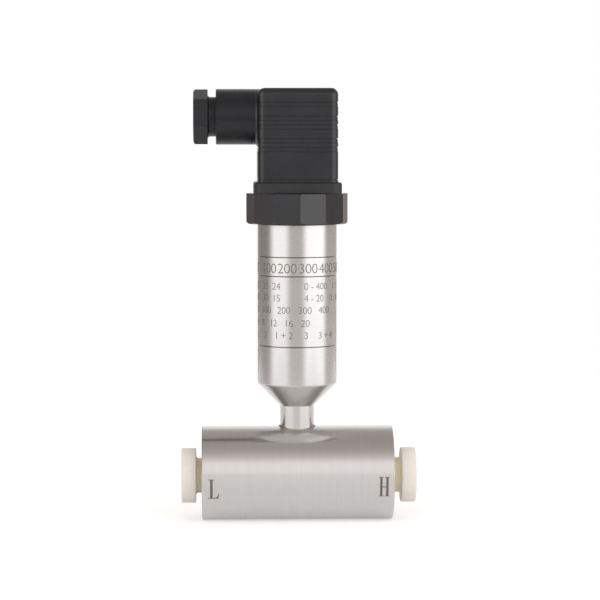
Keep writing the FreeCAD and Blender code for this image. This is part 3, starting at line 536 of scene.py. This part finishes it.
# Outlines of the two letters, from their lower left corner
LETTER_L = [(0, 0), (3.55, 0), (3.87, 2.0), (3.66, 2.0), (3.25, 0.8), (2.7, 0.34), (1.62, 0.3), (1.62, 6.6),
            (2.3, 6.68), (2.3, 6.9), (0.1, 6.9), (0.1, 6.68), (0.78, 6.6), (0.78, 0.3), (0, 0.22)]
LETTER_H = [(0, 0), (1.65, 0), (1.65, 0.22), (1.22, 0.3), (1.22, 3.35), (2.48, 3.35), (2.48, 0.3),
            (2.05, 0.22), (2.05, 0), (3.7, 0), (3.7, 0.22), (3.27, 0.3), (3.27, 6.6), (3.7, 6.68), (3.7, 6.9),
            (2.05, 6.9), (2.05, 6.68), (2.48, 6.6), (2.48, 3.65), (1.22, 3.65), (1.22, 6.6), (1.65, 6.68),
            (1.65, 6.9), (0, 6.9), (0, 6.68), (0.43, 6.6), (0.43, 0.3), (0, 0.22)]


def port_mark(name, outline, left, foot_angle):
    """Letter on the body's front, from its left edge in millimetres and its foot's angle in degrees."""
    shape = bmesh.new()
    face = shape.faces.new([shape.verts.new((u, v, 0)) for u, v in outline])
    face.normal_update()
    bmesh.ops.triangulate(shape, faces=[face])

    def bend(u, v, height):
        angle = math.radians(foot_angle) + v / BODY_RADIUS
        radius = BODY_RADIUS + height
        return Vector((left + u, -radius * math.cos(angle), BODY_AXIS_Z + radius * math.sin(angle))) * MM

    bent_mark(name, shape, bend, 1, marking)


port_mark("low_port_mark", LETTER_L, -30.45, -25.0)
port_mark("high_port_mark", LETTER_H, 27.05, -22.95)

NUMBER_ROWS = [
    # name, height of the digits' foot, height of the digits, texts with the angle at which each starts
    ("title", 84.85, 3.3, ((-84.0, "0"), (-62.0, "100"), (-31.0, "200"), (0.0, "300"), (31.0, "400"),
                           (62.0, "500"))),
    ("row_1", 79.35, 2.3, ((-86.0, "12 - 30"), (-40.0, "24"), (8.0, "0 - 400"), (58.0, "1 : 5"))),
    ("row_2", 75.35, 2.3, ((-86.0, "10 - 30"), (-40.0, "15"), (8.0, "4 - 20"), (52.0, "0 : 10"))),
    ("row_3", 71.30, 2.3, ((-80.0, "0   100   200   300   400"),)),
    ("row_4", 66.95, 2.3, ((-80.0, "4   8   12   16   20"),)),
    ("row_5", 62.80, 2.3, ((-80.0, "1"), (-58.0, "2"), (-36.0, "1 + 2"), (8.0, "3"), (30.0, "3 + 4"))),
]
DIGIT_SPACING = 0.94
DIGIT_THINNING = -0.012
DIGIT_RESOLUTION = 3


def number_row(name, foot_z, height, texts):
    """Row of numbers round the barrel's front, each text starting at its own angle."""
    shape = bmesh.new()
    for start_angle, text in texts:
        curve = bpy.data.curves.new(name, "FONT")
        curve.body = text
        curve.space_character = DIGIT_SPACING
        curve.resolution_u = DIGIT_RESOLUTION
        curve.offset = DIGIT_THINNING
        helper = bpy.data.objects.new(name, curve)
        bpy.context.scene.collection.objects.link(helper)
        bpy.context.view_layer.update()
        shown = helper.evaluated_get(bpy.context.evaluated_depsgraph_get())
        flat = bpy.data.meshes.new_from_object(shown)
        bpy.data.objects.remove(helper)
        scale = height / max(vert.co.y for vert in flat.vertices)
        start = math.radians(start_angle) * BARREL_RADIUS
        for vert in flat.vertices:
            vert.co = (vert.co.x * scale + start, vert.co.y * scale, 0)
        shape.from_mesh(flat)
        bpy.data.meshes.remove(flat)

    def bend(u, v, rise):
        angle = u / BARREL_RADIUS
        radius = BARREL_RADIUS + rise
        return Vector((radius * math.sin(angle), -radius * math.cos(angle), foot_z + v)) * MM

    bent_mark(f"number_{name}", shape, bend, 0, fine_marking)


for row in NUMBER_ROWS:
    number_row(*row)


# Studio: a white floor, and a room that is white behind the object, with soft boxes beside the camera

WHITE = (1.0, 1.0, 1.0, 1.0)
FLOOR_SIZE = 0.9                    # metres
FLOOR_COLOUR = (0.88, 0.88, 0.88, 1.0)
CAMERA_GLOW = 0.40                  # what the floor adds for the camera, which makes it white
MIRROR_GLOW = 0.20                  # what it adds for reflections

floor_mesh = bpy.data.meshes.new("floor")
half = FLOOR_SIZE / 2
corners = [(-half, -half, 0), (half, -half, 0), (half, half, 0), (-half, half, 0)]
floor_mesh.from_pydata(corners, [], [(0, 1, 2, 3)])
floor = bpy.data.objects.new("floor", floor_mesh)
bpy.context.scene.collection.objects.link(floor)
floor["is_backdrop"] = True
paper = bpy.data.materials.new("floor_paper")
paper.use_nodes = True
tree = paper.node_tree
tree.nodes.clear()
rays = add(tree, "ShaderNodeLightPath")
mirrored = maths(tree, "MAXIMUM", rays.outputs["Is Glossy Ray"], rays.outputs["Is Transmission Ray"])
seen = maths(tree, "ADD", maths(tree, "MULTIPLY", rays.outputs["Is Camera Ray"], CAMERA_GLOW),
             maths(tree, "MULTIPLY", mirrored, MIRROR_GLOW))
sheet = add(tree, "ShaderNodeBsdfDiffuse", {"Color": FLOOR_COLOUR})
glow = add(tree, "ShaderNodeEmission", {"Strength": seen})
both = add(tree, "ShaderNodeAddShader", {0: sheet.outputs[0], 1: glow.outputs[0]})
add(tree, "ShaderNodeOutputMaterial", {"Surface": both.outputs[0]})
floor_mesh.materials.append(paper)

# Directions in the room are in degrees: azimuth 0 is towards the camera, + to the right
BACKDROP_SIDE = (160.0, 176.0)      # azimuths between which the room passes into the white backdrop
BACKDROP_TOP = (27.0, 50.0)         # elevations between which the backdrop ends
CEILING_FOOT = (42.0, 66.0)
SHADE_SIDES = (-150.0, -92.0, 10.0)     # azimuths of the darker wall on the left, and their softness
GAP_SIDES = (-29.0, 21.0, 12.0)     # azimuths of the gap between the boxes, and their softness
GAP_HEIGHTS = (-40.0, -2.0, 5.0)    # its elevations, and their softness
BOXES = [
    # left and right azimuth and their softness, low and high elevation and their softness, strength
    (-80.0, -29.0, 12.0, -35.0, 40.0, 16.0, 1.06),
    (21.0, 86.0, 12.0, -35.0, 36.0, 16.0, 1.31),
    (-33.0, 25.0, 12.0, -1.0, 36.0, 9.0, 0.31),
]
ROOM_LEVEL = 0.53
ROOM_COLOUR = (1.0, 0.885, 0.83, 1.0)
BOX_COLOUR = (0.975, 0.995, 1.0, 1.0)
CEILING_LEVEL = 0.46
FILL_LEVEL = 0.22                   # lights matt surfaces alone
SHADE_LEVEL = 0.27                  # by which the wall on the left is darker
GAP_LEVEL = 0.2                     # by which the room is darker low down between the boxes
DEGREES = 180.0 / math.pi

world = bpy.data.worlds.new("studio")
bpy.context.scene.world = world
world.use_nodes = True
tree = world.node_tree
tree.nodes.clear()
direction = add(tree, "ShaderNodeTexCoord").outputs["Generated"]
split = add(tree, "ShaderNodeSeparateXYZ", {"Vector": direction})
dx, dy, dz = split.outputs[0], split.outputs[1], split.outputs[2]
towards_camera = maths(tree, "MULTIPLY", dy, -1.0)
azimuth = maths(tree, "MULTIPLY", maths(tree, "ARCTAN2", dx, towards_camera), DEGREES)
elevation = maths(tree, "MULTIPLY", maths(tree, "ARCSINE", dz), DEGREES)

# Warm light from the walls and the ceiling
backdrop = maths(tree, "MULTIPLY", step_up(tree, maths(tree, "ABSOLUTE", azimuth), *BACKDROP_SIDE),
                 inverse(tree, step_up(tree, elevation, *BACKDROP_TOP)))
ceiling = step_up(tree, elevation, *CEILING_FOOT)
gap = maths(tree, "MULTIPLY", inside(tree, azimuth, *GAP_SIDES), inside(tree, elevation, *GAP_HEIGHTS))
shade = maths(tree, "ADD", maths(tree, "MULTIPLY", inside(tree, azimuth, *SHADE_SIDES), SHADE_LEVEL),
              maths(tree, "MULTIPLY", gap, GAP_LEVEL))
walls = maths(tree, "SUBTRACT", maths(tree, "MULTIPLY", inverse(tree, backdrop), ROOM_LEVEL), shade)
warm = maths(tree, "ADD", maths(tree, "MULTIPLY", walls, inverse(tree, ceiling)),
             maths(tree, "MULTIPLY", ceiling, CEILING_LEVEL))

# Neutral light from the backdrop and the boxes
neutral = backdrop
for left, right, side_soft, low, high, top_soft, strength in BOXES:
    box = maths(tree, "MULTIPLY", inside(tree, azimuth, left, right, side_soft),
                inside(tree, elevation, low, high, top_soft))
    neutral = maths(tree, "ADD", neutral, maths(tree, "MULTIPLY", box, strength))
rays = add(tree, "ShaderNodeLightPath")
neutral = maths(tree, "ADD", neutral, maths(tree, "MULTIPLY", rays.outputs["Is Diffuse Ray"], FILL_LEVEL))

# The camera, directly and through glass, sees plain white
clear = maths(tree, "MAXIMUM", rays.outputs["Is Camera Ray"], rays.outputs["Is Transmission Ray"])
walls_light = add(tree, "ShaderNodeBackground", {"Color": ROOM_COLOUR, "Strength": warm})
boxes_light = add(tree, "ShaderNodeBackground", {"Color": BOX_COLOUR, "Strength": neutral})
room = add(tree, "ShaderNodeAddShader", {0: walls_light.outputs[0], 1: boxes_light.outputs[0]})
white = add(tree, "ShaderNodeBackground", {"Color": WHITE, "Strength": 1.0})
shown = add(tree, "ShaderNodeMixShader", {0: clear, 1: room.outputs[0], 2: white.outputs[0]})
add(tree, "ShaderNodeOutputWorld", {"Surface": shown.outputs[0]})


low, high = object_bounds()
